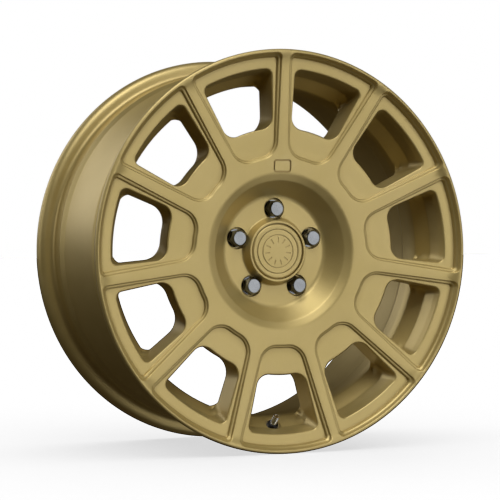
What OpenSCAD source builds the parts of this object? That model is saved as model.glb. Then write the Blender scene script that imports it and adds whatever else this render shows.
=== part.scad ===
// One-piece forged road-rally wheel with centre cap, lug nuts and clamp-in tyre valve.
// Origin: wheel centre. +Y runs along the axle towards the vehicle, +Z is up.
// Every section below is drawn with X as radius and Y as depth behind the front lip.

/* [Rim] */
// Diameter over the two flanges
flange_d = 471.2; // [440:0.1:570]
// Width over the two flanges
rim_w = 217.5; // [195:0.5:265]
// Height of a flange above its bead seat
flange_h = 17.3; // [15:0.1:19]
// Thickness of a flange at the bead
flange_t = 13.5; // [12:0.5:15]
// Length of a bead seat
seat_l = 19; // [16:0.5:22]
// Height of the hump behind a bead seat
hump_h = 1.3; // [0.6:0.1:2]
// Depth of the drop centre below the bead seat
well_h = 17.3; // [15:0.1:19]
// Length of the drop centre's floor
well_l = 27; // [20:1:34]
// Wall of the barrel
barrel_t = 4.6; // [3.5:0.1:6]

/* [Face] */
// Number of spokes
spoke_n = 11; // [9:1:12]
// Width of a spoke's top at the rim
spoke_w_out = 15.8; // [12:0.2:20]
// Width of a spoke's top at the hub
spoke_w_in = 19.2; // [14:0.2:22]
// Depth of the spoke tops at the rim
top_y_out = 4.4; // [2:0.1:7]
// Depth of the spoke tops at the hub
top_y_in = 14.9; // [10:0.1:20]
// Depth of the spokes' back face at the rim
back_y_out = 49.3; // [46:0.1:52]
// Depth of the spokes' back face at the hub
back_y_in = 53; // [50:0.5:58]
// Radius where the pockets start
pocket_r_in = 112.5; // [105:0.5:120]
// Distance from the flange's edge to the pockets' outer wall
lip_w = 9; // [7:0.5:12]
// Depth of the pockets below the spoke tops at the hub
pocket_h_in = 4.1; // [2.5:0.1:6]
// Depth of the pockets below the spoke tops at the rim
pocket_h_out = 5.4; // [3.5:0.1:7]
// Width of the step that runs round a pocket
step_w = 1.8; // [1:0.1:2.6]
// Height of that step above the pocket's floor
step_h = 2.6; // [1.2:0.1:3.4]
// Radius where the windows start
window_r_in = 144.5; // [138:0.5:152]
// Distance from the flange's edge to the windows' outer edge
window_rim_w = 22.4; // [20:0.2:26]
// Material left between two windows at the rim
window_gap_out = 31; // [26:0.5:36]
// Material left between two windows at the hub
window_gap_in = 24.6; // [20:0.2:30]
// Corner radius of a pocket at the hub
pocket_corner_in = 16; // [8:0.5:18]
// Corner radius of a pocket at the rim
pocket_corner_out = 4; // [2:0.5:8]
// Corner radius of a window at the hub
window_corner_in = 15; // [6:0.5:17]
// Corner radius of a window at the rim
window_corner_out = 7.5; // [3:0.5:10]

/* [Hub] */
// Depth of the mounting face behind the front lip
hub_back_y = 60.75; // [56:0.25:66]
// Radius of the mounting face
hub_pad_r = 71; // [66:0.5:76]
// Depth of the pad that the nuts sit in
pad_y = 37.6; // [33:0.1:40]
// Radius of that pad
pad_r = 65; // [62:0.5:67]
// Radius of the recess at the spoke tops
recess_r = 88; // [84:0.5:94]
// Wall of the central boss round the cap
boss_wall = 2.6; // [2:0.1:3.6]
// Depth of the boss's top
boss_y = 26.3; // [24:0.1:29]
// Growth of the boss's radius down to the pad
boss_flare = 4.2; // [2:0.1:6]
// Diameter of the bore that the vehicle's hub spigot fills
hub_bore_d = 56.1; // [52:0.1:58]
// Diameter of the lug circle
lug_pcd = 100; // [98:0.1:108]
// Number of lug holes
lug_n = 5; // [5:1:5]
// Diameter of a stud hole
stud_hole_d = 14; // [13:0.1:15]
// Room for a socket between a nut's flats and its pocket's wall
nut_room = 2.8; // [2.4:0.1:3.4]
// Depth where a nut's cone seat starts
seat_y = 43.5; // [42:0.1:45]
// Widest diameter of the cone seat
seat_d = 21.6; // [20:0.1:22]
// Depth of the floor of the channel turned behind the hub
channel_y = 34; // [31:0.5:50]
// Outer radius of that channel
channel_r = 110; // [100:0.5:114]
// Diameter of a lightening recess in the mounting face
relief_d = 23; // [12:0.5:25]
// Depth of a lightening recess
relief_h = 11; // [4:0.5:13]

/* [Lug nut] */
// Width across the nut's flats
nut_af = 19; // [17:0.5:20]
// Depth of the nut's flat tip behind the front lip
nut_tip_y = 29; // [27:0.1:31]
// Width of the shoulder round the nut's flat tip
nut_shoulder_w = 1.75; // [1.2:0.05:3]
// Diameter of the threaded hole, at the wall
nut_thread_d = 12; // [11:0.1:12.5]
// Thickness of the nut's closed end
nut_end_t = 3.5; // [2.5:0.1:6]
// Gap between the nut's cone and its seat
nut_gap = 0.3; // [0.2:0.05:0.5]

/* [Centre cap] */
// Diameter of the cap
cap_d = 64.8; // [62:0.1:65.2]
// Gap round the cap
cap_gap = 0.8; // [0.4:0.1:1.2]
// Height that the cap's rim stands behind the boss's top
cap_set = 0.4; // [0:0.1:1.5]
// Thickness of the cap's shell
cap_t = 4.4; // [3.8:0.1:5]
// Width of the cap's edge round the inlaid badge plate
badge_edge_w = 6.2; // [4:0.1:10]
// Thickness of the badge plate
badge_t = 1.6; // [1:0.1:2]
// Width of the ledge that the cap's edge lies on
cap_ledge_w = 2.4; // [1.8:0.1:3]
// Gap round the legs
leg_gap = 0.35; // [0.3:0.05:0.6]
// Length of the legs
leg_l = 9.6; // [8:0.1:10]
// Number of legs
leg_n = 8; // [4:1:10]
// Width of the slots between the legs
leg_slot_w = 5; // [3:0.5:7]
// Wall of a leg
leg_t = 2.4; // [2:0.1:3]
// Diameter of the spring ring's wire
wire_d = 1.8; // [1.2:0.1:2]

/* [Valve] */
// Clock angle of the valve, seen from the front
valve_clock = 180; // [180:1:180]
// Angle between the stem and the axle
valve_tilt = 42; // [38:1:48]
// Depth along the slope at which the stem comes out
valve_down = 5.2; // [4:0.1:7]
// Diameter of the valve hole
valve_hole_d = 11.5; // [11.3:0.1:12]
// Room for a socket between the valve's nut and its sunk seat's wall
valve_room = 4; // [3.4:0.1:4.5]
// Sinking of that seat below the slope
valve_sink = 2.4; // [2:0.1:3]
// Wall left between the two valve seats
valve_wall = 3.8; // [3:0.1:4.4]
// Diameter of the stem in the hole
stem_d = 8.3; // [8:0.1:8.6]
// Diameter of the stem's threaded tip
stem_tip_d = 7.7; // [7.4:0.1:7.9]
// Length of the stem above its seat
stem_l = 17.5; // [14:0.5:20]
// Diameter of the stem's head on the tyre side
stem_head_d = 14.8; // [13:0.1:15.6]
// Room round the stem's head on the tyre side
head_room = 1.2; // [0.8:0.1:1.6]
// Thickness of the stem's head
stem_head_t = 2.5; // [2:0.1:3.5]
// Diameter of the air passage
stem_air_d = 3.2; // [2.6:0.1:3.4]
// Diameter of the chamber that the core screws into
chamber_d = 5.4; // [5.2:0.1:5.6]
// Thickness of the rubber grommet's flange
grommet_t = 2.2; // [1.6:0.1:3]
// Thickness of the washer
washer_t = 1; // [0.8:0.1:1.5]
// Width across the flats of the valve's nut
valve_nut_af = 11; // [10:0.5:12]
// Height of the valve's nut
valve_nut_h = 4.5; // [3.5:0.1:6]
// Travel of the core's pin
pin_travel = 1.2; // [0.8:0.1:1.5]

/* [Hidden] */

gold = "#AE9C68";
chrome = "#C9CDD2";
black_rubber = "#1D1D1E";
brass = "#B79A52";
black_plastic = "#242427";
spring_steel = "#8E9196";

round_fn = 96; // facets of a true circle in the preview
arc_n = 6; // steps in a rounded corner
past = 1; // how far a cutter runs past a face
flange_r = flange_d / 2;
seat_r = flange_r - flange_h;
seat_drop = seat_l * tan(5); // bead seats taper by 5 degrees
well_r = seat_r - well_h;
lip_corner = 2.8;
curl_r = 9; // curl of a flange's tyre side
bead_corner = 6;
hump_l = 4; // from a seat's end to its hump
slope_run = 21; // from the front hump to the drop centre's floor
well_y0 = flange_t + seat_l + hump_l + slope_run;
well_y1 = well_y0 + well_l;
barrel_y0 = well_y1 + 12; // where the barrel's taper starts
barrel_rise = 6; // the taper starts this far above the drop centre
rear_seat_y = rim_w - flange_t;
rear_hump_y = rear_seat_y - seat_l - hump_l;
rear_foot_y = rear_hump_y - 8; // where the rear hump's slope meets the barrel
rear_foot_r = seat_r - 4.2;
mouth_r = seat_r - 4.2; // inside radius of the barrel under the rear bead seat
mouth_flare = 7.5; // the rear opening flares by this

pitch = 360 / spoke_n;
win_r_out = flange_r - window_rim_w;
pocket_r_out = flange_r - lip_w;
top_r_in = recess_r + 4; // the straight run of the spoke tops starts here
top_r_out = flange_r - 13.6;
ring_y = 36; // depth where the front ring's inside turns into the slope
ring_drop = 5.2; // the ring's inside closes in by this up to there
slope_r = win_r_out - ring_drop + 0.5; // radius of that turn
well_in_r = well_r - barrel_t;
well_in_y = well_y0 - 4; // depth where the slope meets the drop centre inside
slope_k = (slope_r - well_in_r) / (well_in_y - ring_y); // radius lost per depth on the slope
emblem_r = 100;
emblem_w = 20;
emblem_h = 13;
engrave_h = 0.8;

seat_hole_y = seat_y + (seat_d - stud_hole_d) / 2 / tan(30);
nut_pocket_d = nut_af + 2 * nut_room;
nut_collar_h = 1.5; // straight part above the nut's cone
cap_y = boss_y + cap_set;
cap_seat_y = cap_y + cap_t;
cap_rebate_r = cap_d / 2 + cap_gap;
boss_r = cap_rebate_r + boss_wall;
boss_base_r = boss_r + boss_flare;
badge_d = cap_d - 2 * badge_edge_w;
cap_bore_d = cap_d - 2 * cap_ledge_w;
leg_r = cap_bore_d / 2 - leg_gap;
leg_end_y = cap_seat_y + leg_l;
cap_bore_y = leg_end_y + 1;
barb_h = 2; // length of the snap groove behind the cap's bore
wire_y = leg_end_y - 2.4;

valve_y = ring_y + valve_down;
valve_r = slope_r - slope_k * valve_down;
seat_s = -valve_sink; // places along the stem count from the slope's surface
tyre_s = seat_s - valve_wall;
head_s = tyre_s - grommet_t;
tip_s = seat_s + stem_l;
nut_s = seat_s + washer_t;
tyre_seat_d = stem_head_d + 2 * head_room;
valve_seat_d = valve_nut_af + 2 * valve_room;
snug = 0.1; // radial gap between pieces clamped in the valve
core_top_s = tip_s - 1.2;
core_l = 11;
core_bore_d = 2.2;
pin_d = 1.2;
pin_head_d = 1.9;
core_low_s = core_top_s - core_l;

// Frames: the local Z axis runs along the axle, from the front lip to the back.
module in_wheel() {
    translate([0, -rim_w / 2, 0]) rotate([-90, 0, 0]) children();
}

// Turns local +X to a clock angle seen from the front
module at_clock(a) {
    rotate([0, 0, a - 90]) children();
}

// Local +Z runs out along the valve's stem
module on_valve() {
    in_wheel() at_clock(valve_clock) translate([valve_r, 0, valve_y])
        rotate([0, 180 + valve_tilt, 0]) children();
}

function polar(r, a) = [r * cos(a), r * sin(a)];
function unit(v) = v / norm(v);
function xy(p) = [p[0], p[1]];

// Arc of radius r that rounds corner b between its neighbours a and c
function corner_arc(a, b, c, r) =
    let (u = unit(a - b), v = unit(c - b), half = acos(u * v) / 2)
    let (mid = b + unit(u + v) * r / sin(half), d = r / tan(half))
    let (p = b + u * d - mid, q = b + v * d - mid)
    let (a0 = atan2(p[1], p[0]), a1 = atan2(q[1], q[0]))
    let (sweep = (a1 - a0 + 540) % 360 - 180)
    [for (i = [0:arc_n]) mid + polar(r, a0 + sweep * i / arc_n)];

// Outline whose points are [x, y, corner radius]
function rounded(pts) = let (n = len(pts)) [for (i = [0:n - 1])
    each pts[i][2] == 0 ? [xy(pts[i])]
        : corner_arc(xy(pts[(i + n - 1) % n]), xy(pts[i]), xy(pts[(i + 1) % n]), pts[i][2])];

// Outline between two spokes. gap is what is left between two neighbours.
function bay(r_in, r_out, gap_in, gap_out, corner_in, corner_out) =
    let (a_in = pitch / 2 - asin(gap_in / 2 / r_in), a_out = pitch / 2 - asin(gap_out / 2 / r_out))
    let (n = 6)
    rounded([
        for (i = [0:n]) let (p = polar(r_out, a_out * (2 * i / n - 1)))
            [p[0], p[1], (i == 0 || i == n) ? corner_out : 0],
        for (i = [0:2]) let (p = polar(r_in, a_in * (1 - i)))
            [p[0], p[1], i == 1 ? 0 : corner_in]]);

// Depth of the spoke tops, extended as a straight line
function top_y(r) = top_y_in + (top_y_out - top_y_in) * (r - top_r_in) / (top_r_out - top_r_in);

// Depth of the pocket floors
function floor_y(r) = top_y(r)
    + pocket_h_in + (pocket_h_out - pocket_h_in) * (r - pocket_r_in) / (pocket_r_out - pocket_r_in);

// Half section of the whole forging before its holes
function wheel_section() = rounded([
    [0, boss_y, 0],
    [boss_r, boss_y, 1.4],
    [boss_base_r, pad_y, 2.5],
    [pad_r, pad_y, 9],
    [recess_r - 5, top_y_in + 4.6, 9],
    [top_r_in, top_y(top_r_in), 12],
    [top_r_out, top_y(top_r_out), 14],
    [flange_r - 6.4, 1, 5],
    [flange_r - 3.8, 0, 1.5],
    [flange_r, 0, lip_corner],
    [flange_r, flange_t, curl_r],
    [seat_r, flange_t, bead_corner],
    [seat_r - seat_drop, flange_t + seat_l, 1.5],
    [seat_r - seat_drop + hump_h, flange_t + seat_l + hump_l, 2],
    [well_r, well_y0, 8],
    [well_r, well_y1, 8],
    [well_r + barrel_rise, barrel_y0, 10],
    [rear_foot_r, rear_foot_y, 6],
    [seat_r - seat_drop + hump_h, rear_hump_y, 2],
    [seat_r - seat_drop, rear_seat_y - seat_l, 1.5],
    [seat_r, rear_seat_y, bead_corner],
    [flange_r, rear_seat_y, curl_r],
    [flange_r, rim_w, lip_corner],
    [mouth_r + mouth_flare, rim_w, 2.5],
    [mouth_r, rear_seat_y + 1, 5],
    [rear_foot_r - barrel_t, rear_foot_y, 10],
    [well_r + barrel_rise - barrel_t, barrel_y0, 8],
    [well_in_r, well_y1, 8],
    [well_in_r, back_y_out, 0],
    [channel_r, back_y_in, 2.5],
    [channel_r - 5, channel_y, 6],
    [hub_pad_r + 7, channel_y, 6],
    [hub_pad_r, hub_back_y, 1.2],
    [0, hub_back_y, 0]]);

// All the bays at one depth range, limited by a turned region
module bays(outline, region) {
    intersection() {
        translate([0, 0, -past]) linear_extrude(hub_back_y + past)
            for (i = [0:spoke_n - 1]) rotate((i + 0.5) * pitch - 90) polygon(outline);
        rotate_extrude($fn = round_fn) polygon(region);
    }
}

module pocket_cut(grow, lift) {
    r_in = pocket_r_in - grow;
    r_out = pocket_r_out + grow;
    outline = bay(r_in, r_out, spoke_w_in - 2 * grow, spoke_w_out - 2 * grow,
        pocket_corner_in + grow, pocket_corner_out + grow);
    bays(outline, [
        [r_in - 10, -past], [r_out + 10, -past],
        [r_out + 10, floor_y(r_out + 10) - lift],
        [r_in - 10, floor_y(r_in - 10) - lift]]);
}

module window_cut() {
    outline = bay(window_r_in, win_r_out, window_gap_in, window_gap_out,
        window_corner_in, window_corner_out);
    bays(outline, [
        [window_r_in - 10, -past], [win_r_out + 2, -past],
        [win_r_out + 0.5, pocket_h_out], [slope_r, ring_y],
        [well_in_r - slope_k * 4, well_in_y + 4],
        [window_r_in - 10, well_in_y + 4]]);
}

// Bores in the hub: cap rebate, cap bore with its snap groove, spigot bore
module hub_bores() {
    translate([0, 0, boss_y - past])
        cylinder(h = cap_seat_y - boss_y + past, r = cap_rebate_r, $fn = round_fn);
    translate([0, 0, boss_y])
        cylinder(h = cap_bore_y - boss_y, d = cap_bore_d, $fn = round_fn);
    translate([0, 0, cap_bore_y - barb_h - 1])
        cylinder(h = barb_h, d = cap_bore_d + 2, $fn = round_fn);
    translate([0, 0, cap_bore_y - past])
        cylinder(h = hub_back_y - cap_bore_y + 2 * past, d = hub_bore_d, $fn = round_fn);
    translate([0, 0, hub_back_y - 1.5])
        cylinder(h = 3, d1 = hub_bore_d, d2 = hub_bore_d + 6, $fn = round_fn);
}

module lug_cut() {
    translate([0, 0, boss_y]) cylinder(h = seat_y - boss_y, d = nut_pocket_d, $fn = round_fn);
    translate([0, 0, seat_y])
        cylinder(h = seat_hole_y - seat_y, d1 = seat_d, d2 = stud_hole_d, $fn = round_fn);
    translate([0, 0, boss_y])
        cylinder(h = hub_back_y - boss_y + past, d = stud_hole_d, $fn = round_fn);
}

// Round hole through the slope with a sunk seat on each side
module valve_cut() {
    translate([0, 0, -30]) cylinder(h = 60, d = valve_hole_d, $fn = round_fn);
    translate([0, 0, seat_s]) cylinder(h = 12, d = valve_seat_d, $fn = round_fn);
    translate([0, 0, tyre_s - 12]) cylinder(h = 12, d = tyre_seat_d, $fn = round_fn);
}

// Plain pill-shaped mark, engraved at the root of the top spoke
module emblem_cut() {
    big = rounded([[-emblem_h / 2, -emblem_w / 2, 5], [emblem_h / 2, -emblem_w / 2, 5],
        [emblem_h / 2, emblem_w / 2, 5], [-emblem_h / 2, emblem_w / 2, 5]]);
    intersection() {
        at_clock(0) translate([emblem_r, 0, 0]) linear_extrude(pad_y) difference() {
            polygon(big);
            square([emblem_h - 6, emblem_w - 6], center = true);
        }
        rotate_extrude($fn = round_fn) polygon([
            [emblem_r - 20, 0], [emblem_r + 20, 0],
            [emblem_r + 20, top_y(emblem_r + 20) + engrave_h],
            [emblem_r - 20, top_y(emblem_r - 20) + engrave_h]]);
    }
}

module wheel_forging() color(gold) {
    difference() {
        in_wheel() difference() {
            rotate_extrude($fn = round_fn) polygon(wheel_section());
            window_cut();
            pocket_cut(0, 0);
            pocket_cut(step_w, step_h);
            hub_bores();
            emblem_cut();
            for (i = [0:lug_n - 1]) at_clock(i * 360 / lug_n) {
                translate([lug_pcd / 2, 0, 0]) lug_cut();
                rotate([0, 0, 180 / lug_n]) translate([lug_pcd / 2, 0, hub_back_y - relief_h])
                    cylinder(h = relief_h + past, d = relief_d, $fn = round_fn);
            }
        }
        on_valve() valve_cut();
    }
}

module cap_shell() color(gold) in_wheel() {
    difference() {
        rotate_extrude($fn = round_fn) polygon(rounded([
            [0, cap_y, 0],
            [cap_d / 2 - 1.6, cap_y, 0.8],
            [cap_d / 2, cap_y + 1.4, 0.6],
            [cap_d / 2, cap_seat_y - 0.3, 0],
            [0, cap_seat_y - 0.3, 0]]));
        translate([0, 0, cap_y - past]) cylinder(h = badge_t + past, d = badge_d, $fn = round_fn);
    }
}

// Inlaid plate with a plain ring and short radial marks, one for each spoke
module cap_badge_plate() color(gold) in_wheel() {
    mark_r = badge_d / 2 - 6;
    difference() {
        translate([0, 0, cap_y]) cylinder(h = badge_t, d = badge_d - 1, $fn = round_fn);
        translate([0, 0, cap_y - past]) difference() {
            cylinder(h = past + 0.6, r = mark_r, $fn = round_fn);
            translate([0, 0, -past]) cylinder(h = past * 3 + 1, r = mark_r - 1.2, $fn = round_fn);
        }
        for (i = [0:spoke_n - 1]) at_clock(i * pitch)
            translate([mark_r - 9, -0.8, cap_y - past]) cube([5.5, 1.6, past + 0.6]);
    }
}

module cap_leg_basket() color(black_plastic) in_wheel() {
    difference() {
        translate([0, 0, cap_seat_y - 0.3]) cylinder(h = leg_l + 0.3, r = leg_r, $fn = round_fn);
        translate([0, 0, cap_seat_y + 1.2]) cylinder(h = leg_l, r = leg_r - leg_t, $fn = round_fn);
        translate([0, 0, wire_y - wire_d / 2 - 0.2])
            cylinder(h = wire_d + 0.4, r = leg_r - leg_t + 1, $fn = round_fn);
        for (i = [0:leg_n - 1]) rotate([0, 0, i * 360 / leg_n])
            translate([0, -leg_slot_w / 2, cap_seat_y + 2.4]) cube([leg_r + past, leg_slot_w, leg_l]);
    }
}

// Wire that springs the legs outwards
module cap_spring_ring() color(spring_steel) in_wheel() {
    translate([0, 0, wire_y]) rotate_extrude($fn = round_fn)
        translate([leg_r - leg_t + 0.95 - wire_d / 2, 0]) circle(d = wire_d, $fn = 24);
}

// Closed-end hex nut with a cone seat, on the wheel's own axis
module lug_nut_shape() {
    cone_r = seat_d / 2 - nut_gap;
    cone_y = seat_y - nut_gap;
    cone_h = seat_hole_y - seat_y - nut_gap;
    difference() {
        union() {
            intersection() {
                translate([0, 0, nut_tip_y]) rotate([0, 0, 30])
                    cylinder(h = cone_y - nut_tip_y, r = nut_af / 2 / cos(30), $fn = 6);
                rotate_extrude($fn = round_fn) polygon([
                    [0, nut_tip_y], [nut_af / 2 - nut_shoulder_w, nut_tip_y],
                    [nut_af / 2 - 0.3, nut_tip_y + 2.4], [nut_af / 2 + 1.6, nut_tip_y + 6.5],
                    [nut_af / 2 + 1.6, seat_y], [0, seat_y]]);
            }
            rotate_extrude($fn = round_fn) polygon([
                [0, cone_y - nut_collar_h], [cone_r, cone_y - nut_collar_h], [cone_r, cone_y],
                [cone_r - cone_h * tan(30), cone_y + cone_h], [0, cone_y + cone_h]]);
        }
        translate([0, 0, nut_tip_y + nut_end_t])
            cylinder(h = cone_y + cone_h - nut_tip_y, d = nut_thread_d, $fn = round_fn);
    }
}

module lug_nut(i) color(chrome) in_wheel() {
    at_clock(i * 360 / lug_n) translate([lug_pcd / 2, 0, 0]) lug_nut_shape();
}

module valve_stem() color(chrome) on_valve() {
    difference() {
        union() {
            translate([0, 0, head_s - stem_head_t])
                cylinder(h = stem_head_t, d = stem_head_d, $fn = round_fn);
            translate([0, 0, head_s]) cylinder(h = nut_s + valve_nut_h + 1 - head_s, d = stem_d,
                $fn = round_fn);
            translate([0, 0, nut_s]) cylinder(h = tip_s - nut_s - 0.8, d = stem_tip_d, $fn = round_fn);
            translate([0, 0, tip_s - 0.8])
                cylinder(h = 0.8, d1 = stem_tip_d, d2 = stem_tip_d - 1.2, $fn = round_fn);
        }
        translate([0, 0, head_s - stem_head_t - past])
            cylinder(h = tip_s - head_s + 20, d = stem_air_d, $fn = round_fn);
        translate([0, 0, core_low_s]) cylinder(h = core_l + 5, d = chamber_d, $fn = round_fn);
    }
}

// Rubber seal under the head, with a sleeve that lines the hole
module valve_grommet() color(black_rubber) on_valve() {
    difference() {
        union() {
            translate([0, 0, head_s]) cylinder(h = grommet_t, d = tyre_seat_d - 1.2, $fn = round_fn);
            translate([0, 0, head_s]) cylinder(h = grommet_t + valve_wall - 0.3,
                d = valve_hole_d - 2 * snug, $fn = round_fn);
        }
        translate([0, 0, head_s - past]) cylinder(h = grommet_t + valve_wall + 3,
            d = stem_d + 2 * snug, $fn = round_fn);
    }
}

module valve_washer() color(chrome) on_valve() {
    difference() {
        translate([0, 0, seat_s]) cylinder(h = washer_t, d = valve_seat_d - 3.4, $fn = round_fn);
        translate([0, 0, seat_s - past])
            cylinder(h = washer_t + 2 * past, d = stem_d + 2 * snug, $fn = round_fn);
    }
}

module valve_nut() color(spring_steel) on_valve() {
    difference() {
        intersection() {
            translate([0, 0, nut_s])
                cylinder(h = valve_nut_h, r = valve_nut_af / 2 / cos(30), $fn = 6);
            translate([0, 0, nut_s]) cylinder(h = valve_nut_h, r1 = valve_nut_af / 2 + valve_nut_h,
                r2 = valve_nut_af / 2 + 0.2, $fn = round_fn);
        }
        translate([0, 0, nut_s - past])
            cylinder(h = valve_nut_h + 2 * past, d = stem_d + 2 * snug, $fn = round_fn);
    }
}

// Barrel of the core, with a shelf that the spring stands on
module valve_core_body() color(brass) on_valve() {
    difference() {
        translate([0, 0, core_low_s + 0.2])
            cylinder(h = core_l - 0.2, d = chamber_d - 2 * snug, $fn = round_fn);
        translate([0, 0, core_low_s - past])
            cylinder(h = core_l + 2 * past, d = pin_d + 0.6, $fn = round_fn);
        translate([0, 0, core_low_s + 2])
            cylinder(h = core_l, d = core_bore_d + 1, $fn = round_fn);
        translate([0, 0, core_low_s + 4]) difference() {
            cylinder(h = 1.4, d = chamber_d + 1, $fn = round_fn);
            translate([0, 0, -past]) cylinder(h = 4, d = chamber_d - 1.2, $fn = round_fn);
        }
    }
}

// Ring in the groove round the core's barrel
module valve_core_gasket() color("white") on_valve() {
    translate([0, 0, core_low_s + 4.1]) difference() {
        cylinder(h = 1.2, d = chamber_d - 0.1, $fn = round_fn);
        translate([0, 0, -past]) cylinder(h = 4, d = chamber_d - 1, $fn = round_fn);
    }
}

// Coil round the pin, drawn at the length it has with the pin pressed in
module valve_core_spring() color(spring_steel) on_valve() {
    turns = 5;
    steps = 10;
    sides = 6;
    wire_r = 0.16;
    coil_r = core_bore_d / 2;
    rise = core_l - 6 - pin_travel;
    n = turns * steps;
    rings = [for (i = [0:n]) let (a = i * 360 / steps, z = core_low_s + 2.3 + rise * i / n)
        [for (j = [0:sides - 1]) let (b = j * 360 / sides, r = coil_r + wire_r * cos(b))
            [r * cos(a), r * sin(a), z + wire_r * sin(b)]]];
    polyhedron(
        points = [for (ring = rings) each ring],
        faces = [
            [for (j = [0:sides - 1]) j],
            [for (j = [0:sides - 1]) n * sides + sides - 1 - j],
            for (i = [0:n - 1]) for (j = [0:sides - 1]) let (k = (j + 1) % sides)
                each [[i * sides + j, (i + 1) * sides + j, (i + 1) * sides + k],
                    [i * sides + j, (i + 1) * sides + k, i * sides + k]]]);
}

module valve_core_pin() color(brass) on_valve() {
    translate([0, 0, core_low_s - 2.6]) cylinder(h = core_l + 2.2, d = pin_d, $fn = round_fn);
    translate([0, 0, core_top_s - 2]) cylinder(h = 1, d = pin_head_d, $fn = round_fn);
    translate([0, 0, core_low_s - 2.6]) cylinder(h = 0.8, d = stem_air_d - 0.8, $fn = round_fn);
}

// Rubber disc on the pin that closes the barrel's lower end
module valve_core_seal() color(black_rubber) on_valve() {
    difference() {
        translate([0, 0, core_low_s - 1.8]) cylinder(h = 1.7, d = stem_air_d - 0.6, $fn = round_fn);
        translate([0, 0, core_low_s - 3]) cylinder(h = 5, d = pin_d, $fn = round_fn);
    }
}

wheel_forging();
cap_shell();
cap_badge_plate();
cap_leg_basket();
cap_spring_ring();
lug_nut(0);  // lug_nut_1
lug_nut(1);  // lug_nut_2
lug_nut(2);  // lug_nut_3
lug_nut(3);  // lug_nut_4
lug_nut(4);  // lug_nut_5
valve_stem();
valve_grommet();
valve_washer();
valve_nut();
valve_core_body();
valve_core_gasket();
valve_core_spring();
valve_core_pin();
valve_core_seal();
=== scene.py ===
import math
import bpy
import bmesh
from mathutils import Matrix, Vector


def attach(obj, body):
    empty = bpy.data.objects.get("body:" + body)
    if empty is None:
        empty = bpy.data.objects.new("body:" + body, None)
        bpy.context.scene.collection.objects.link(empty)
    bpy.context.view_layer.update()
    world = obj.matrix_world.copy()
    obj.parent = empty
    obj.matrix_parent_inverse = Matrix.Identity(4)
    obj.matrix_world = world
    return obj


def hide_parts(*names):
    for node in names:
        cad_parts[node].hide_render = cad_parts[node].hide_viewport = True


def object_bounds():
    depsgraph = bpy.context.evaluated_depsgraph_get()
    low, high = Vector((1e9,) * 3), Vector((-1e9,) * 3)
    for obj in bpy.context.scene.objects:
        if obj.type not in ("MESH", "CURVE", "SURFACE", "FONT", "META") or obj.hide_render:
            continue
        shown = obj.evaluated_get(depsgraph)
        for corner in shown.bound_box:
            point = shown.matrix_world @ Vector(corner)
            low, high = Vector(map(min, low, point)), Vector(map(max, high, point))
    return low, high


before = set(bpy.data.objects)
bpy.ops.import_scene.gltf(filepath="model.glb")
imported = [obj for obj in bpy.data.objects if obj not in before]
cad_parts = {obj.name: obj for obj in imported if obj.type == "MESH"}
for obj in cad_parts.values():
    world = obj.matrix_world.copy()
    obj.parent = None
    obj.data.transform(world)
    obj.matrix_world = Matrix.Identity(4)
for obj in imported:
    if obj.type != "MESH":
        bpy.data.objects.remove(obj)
cadLow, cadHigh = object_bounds()
print("frame loaded:", len(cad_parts), "nodes")

mm = 0.001
flangeR = cadHigh.z / mm
rimW = (cadHigh.y - cadLow.y) / mm
turn = 2 * math.pi
mergeGap = 2e-6  # metres


def place(r, angle, depth):
    # a point on the wheel: radius, clock angle seen from the front, depth behind the lip
    return Vector((r * math.sin(angle), depth - rimW / 2, r * math.cos(angle))) * mm


def unit(v):
    n = math.hypot(*v)
    return (v[0] / n, v[1] / n)


def roundCorner(a, b, c, r, steps):
    # arc of radius r that rounds corner b between its neighbours a and c
    u = unit((a[0] - b[0], a[1] - b[1]))
    v = unit((c[0] - b[0], c[1] - b[1]))
    half = math.acos(max(-1, min(1, u[0] * v[0] + u[1] * v[1]))) / 2
    m = unit((u[0] + v[0], u[1] + v[1]))
    mid = (b[0] + m[0] * r / math.sin(half), b[1] + m[1] * r / math.sin(half))
    d = r / math.tan(half)
    p = (b[0] + u[0] * d - mid[0], b[1] + u[1] * d - mid[1])
    q = (b[0] + v[0] * d - mid[0], b[1] + v[1] * d - mid[1])
    a0 = math.atan2(p[1], p[0])
    sweep = (math.atan2(q[1], q[0]) - a0 + 3 * math.pi) % turn - math.pi
    return [(mid[0] + r * math.cos(a0 + sweep * i / steps),
             mid[1] + r * math.sin(a0 + sweep * i / steps)) for i in range(steps + 1)]


def roundedPath(points, steps=5, closed=False):
    # points are (x, y, corner radius); a radius of 0 keeps the corner
    n = len(points)
    path = []
    for i, (x, y, r) in enumerate(points):
        if r == 0 or (not closed and i in (0, n - 1)):
            path.append((x, y))
            continue
        before = points[(i - 1) % n][:2]
        after = points[(i + 1) % n][:2]
        path += roundCorner(before, (x, y), after, r, steps)
    return path


def densify(path, longest):
    fine = [path[0]]
    for a, b in zip(path, path[1:]):
        parts = max(1, math.ceil(math.hypot(b[0] - a[0], b[1] - a[1]) / longest))
        for k in range(1, parts + 1):
            fine.append((a[0] + (b[0] - a[0]) * k / parts, a[1] + (b[1] - a[1]) * k / parts))
    return fine


def meshObject(name, verts, faces):
    mesh = bpy.data.meshes.new(name)
    mesh.from_pydata(verts, [], faces)
    obj = bpy.data.objects.new(name, mesh)
    bpy.context.scene.collection.objects.link(obj)
    return obj


def gridFaces(rings, count):
    # quads between neighbouring rings of count points each
    faces = []
    for i in range(rings - 1):
        a = i * count
        b = a + count
        for j in range(count):
            k = (j + 1) % count
            faces.append((a + j, a + k, b + k, b + j))
    return faces


def turned(name, profile, angles):
    # profile points are (r, depth), turned round the axle
    verts = [place(r, a, y) for r, y in profile for a in angles]
    return meshObject(name, verts, gridFaces(len(profile), len(angles)))


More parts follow.
